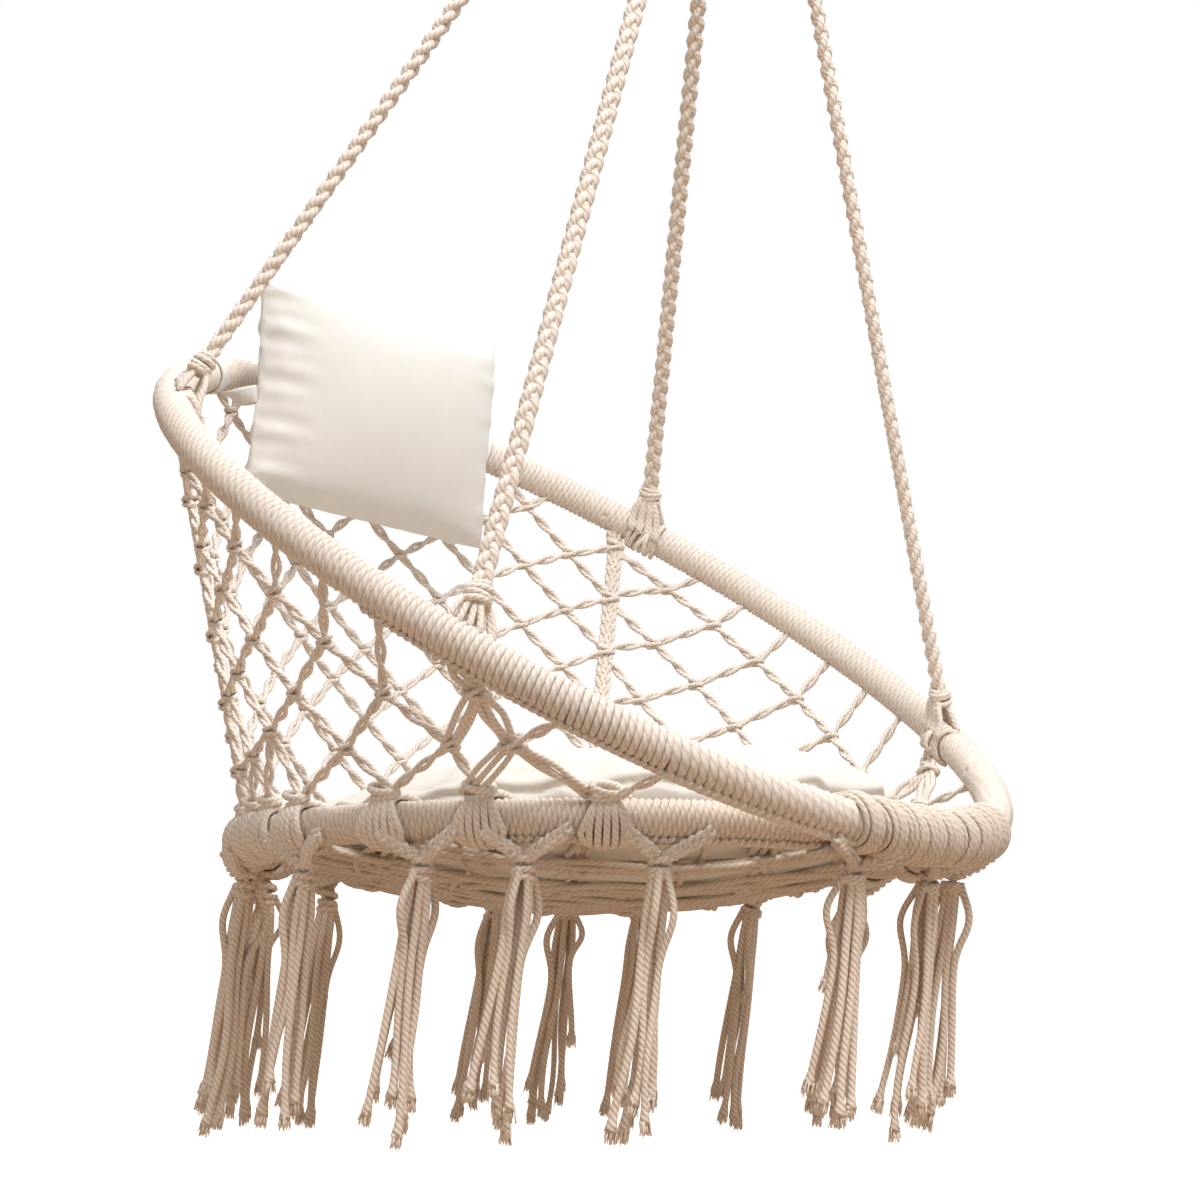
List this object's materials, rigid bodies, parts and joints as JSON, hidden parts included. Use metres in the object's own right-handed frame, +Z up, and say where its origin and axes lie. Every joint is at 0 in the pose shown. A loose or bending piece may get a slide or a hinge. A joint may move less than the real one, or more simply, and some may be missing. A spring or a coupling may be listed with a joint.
{
  "type": "hammock chair",
  "caption": "Hanging macrame chair: cord-wrapped rings joined by a knotted net, rope legs gathered to a steel ring, fringe tassels, a round seat cushion and a strapped head pillow.",
  "frame": {"origin": "the top of the hanging ring's hole, where a hook bears", "axes": "+Z up along the rope legs, the sitter faces -Y, +X to the left hand of someone who looks at the front of the chair"},
  "size_m": [0.8474, 0.7685, 1.5691],
  "materials": {
    "cord": "twisted and plaited undyed cotton cord",
    "cloth": "off-white cotton canvas over soft filling",
    "ring_steel": "plain bright steel ring",
    "tube_steel": "coated steel tube under the cord wrap"
  },
  "bodies": {
    "hanger": {"hanging_ring": "ring_steel"},
    "chair": {"upper_ring_tube": "tube_steel", "seat_ring_tube": "tube_steel", "upper_wrap_right": "cord", "upper_wrap_back": "cord", "upper_wrap_left": "cord", "upper_wrap_front": "cord", "seat_wrap_right": "cord", "seat_wrap_back": "cord", "seat_wrap_left": "cord", "seat_wrap_front": "cord", "rope_left": "cord", "rope_right": "cord", "top_whipping": "cord", "rope_fan_front_left": "cord", "rope_collar_front_left": "cord", "rope_fan_back_left": "cord", "rope_collar_back_left": "cord", "rope_fan_front_right": "cord", "rope_collar_front_right": "cord", "rope_fan_back_right": "cord", "rope_collar_back_right": "cord", "back_net": "cord", "side_net_left": "cord", "side_net_right": "cord", "front_lashing": "cord", "seat_net": "cord", "pillow_strap_left": "cloth", "pillow_strap_right": "cloth"},
    "cushion": {"seat_cushion": "cloth"},
    "headrest": {"pillow": "cloth"},
    "fringe_01": {"tassel_01": "cord"},
    "fringe_02": {"tassel_02": "cord"},
    "fringe_03": {"tassel_03": "cord"},
    "fringe_04": {"tassel_04": "cord"},
    "fringe_05": {"tassel_05": "cord"},
    "fringe_06": {"tassel_06": "cord"},
    "fringe_07": {"tassel_07": "cord"},
    "fringe_08": {"tassel_08": "cord"},
    "fringe_09": {"tassel_09": "cord"},
    "fringe_10": {"tassel_10": "cord"},
    "fringe_11": {"tassel_11": "cord"},
    "fringe_12": {"tassel_12": "cord"},
    "fringe_13": {"tassel_13": "cord"},
    "fringe_14": {"tassel_14": "cord"},
    "fringe_15": {"tassel_15": "cord"},
    "fringe_16": {"tassel_16": "cord"}
  },
  "joints": [
    {"name": "swing", "type": "hinge", "parent": "hanger", "child": "chair", "pos_m": [0, 0, -0.054], "axis": [1, 0, 0], "range_deg": [-20, 20]},
    {"name": "cushion_lift_off", "type": "slide", "parent": "chair", "child": "cushion", "axis": [0, 0.1409, 0.99], "range_m": [0, 0.2]},
    {"name": "headrest_rock", "type": "hinge", "parent": "chair", "child": "headrest", "pos_m": [0.011, 0.31277, -0.87523], "axis": [1, 0, 0], "range_deg": [-8, 12]},
    {"name": "tassel_01_swing", "type": "hinge", "parent": "chair", "child": "fringe_01", "pos_m": [-0.29344, 0.06175, -1.31449], "axis": [-0.2059, -0.9786, 0], "range_deg": [-25, 25]},
    {"name": "tassel_02_swing", "type": "hinge", "parent": "chair", "child": "fringe_02", "pos_m": [-0.29344, -0.06175, -1.29691], "axis": [0.2059, -0.9786, 0], "range_deg": [-25, 25]},
    {"name": "tassel_03_swing", "type": "hinge", "parent": "chair", "child": "fringe_03", "pos_m": [-0.26488, -0.13944, -1.28585], "axis": [0.4658, -0.8849, 0], "range_deg": [-25, 25]},
    {"name": "tassel_04_swing", "type": "hinge", "parent": "chair", "child": "fringe_04", "pos_m": [-0.20074, -0.22072, -1.27429], "axis": [0.7398, -0.6728, 0], "range_deg": [-25, 25]},
    {"name": "tassel_05_swing", "type": "hinge", "parent": "chair", "child": "fringe_05", "pos_m": [0.22641, 0.19485, -1.33343], "axis": [-0.6523, 0.758, 0], "range_deg": [-25, 25]},
    {"name": "tassel_06_swing", "type": "hinge", "parent": "chair", "child": "fringe_06", "pos_m": [0.17207, 0.24329, -1.34033], "axis": [-0.8164, 0.5774, 0], "range_deg": [-25, 25]},
    {"name": "tassel_07_swing", "type": "hinge", "parent": "chair", "child": "fringe_07", "pos_m": [-0.01047, 0.29683, -1.34794], "axis": [-0.9994, -0.0353, 0], "range_deg": [-25, 25]},
    {"name": "tassel_08_swing", "type": "hinge", "parent": "chair", "child": "fringe_08", "pos_m": [-0.11722, 0.2734, -1.34461], "axis": [-0.9191, -0.3941, 0], "range_deg": [-25, 25]},
    {"name": "tassel_09_swing", "type": "hinge", "parent": "chair", "child": "fringe_09", "pos_m": [-0.18055, 0.2372, -1.33946], "axis": [-0.7957, -0.6057, 0], "range_deg": [-25, 25]},
    {"name": "tassel_10_swing", "type": "hinge", "parent": "chair", "child": "fringe_10", "pos_m": [-0.22981, 0.19091, -1.33287], "axis": [-0.639, -0.7692, 0], "range_deg": [-25, 25]},
    {"name": "tassel_11_swing", "type": "hinge", "parent": "chair", "child": "fringe_11", "pos_m": [0.28366, -0.0967, -1.29194], "axis": [0.3227, 0.9465, 0], "range_deg": [-25, 25]},
    {"name": "tassel_12_swing", "type": "hinge", "parent": "chair", "child": "fringe_12", "pos_m": [0.29886, 0.02589, -1.30938], "axis": [-0.0863, 0.9963, 0], "range_deg": [-25, 25]},
    {"name": "tassel_13_swing", "type": "hinge", "parent": "chair", "child": "fringe_13", "pos_m": [0.2673, 0.13484, -1.32489], "axis": [-0.4504, 0.8928, 0], "range_deg": [-25, 25]},
    {"name": "tassel_14_swing", "type": "hinge", "parent": "chair", "child": "fringe_14", "pos_m": [-0.06052, -0.30886, -1.26208], "axis": [0.9813, -0.1923, 0], "range_deg": [-25, 25]},
    {"name": "tassel_15_swing", "type": "hinge", "parent": "chair", "child": "fringe_15", "pos_m": [0.05507, -0.30972, -1.26221], "axis": [0.9846, 0.175, 0], "range_deg": [-25, 25]},
    {"name": "tassel_16_swing", "type": "hinge", "parent": "chair", "child": "fringe_16", "pos_m": [0.12439, -0.2923, -1.25963], "axis": [0.9201, 0.3916, 0], "range_deg": [-25, 25]}
  ]
}
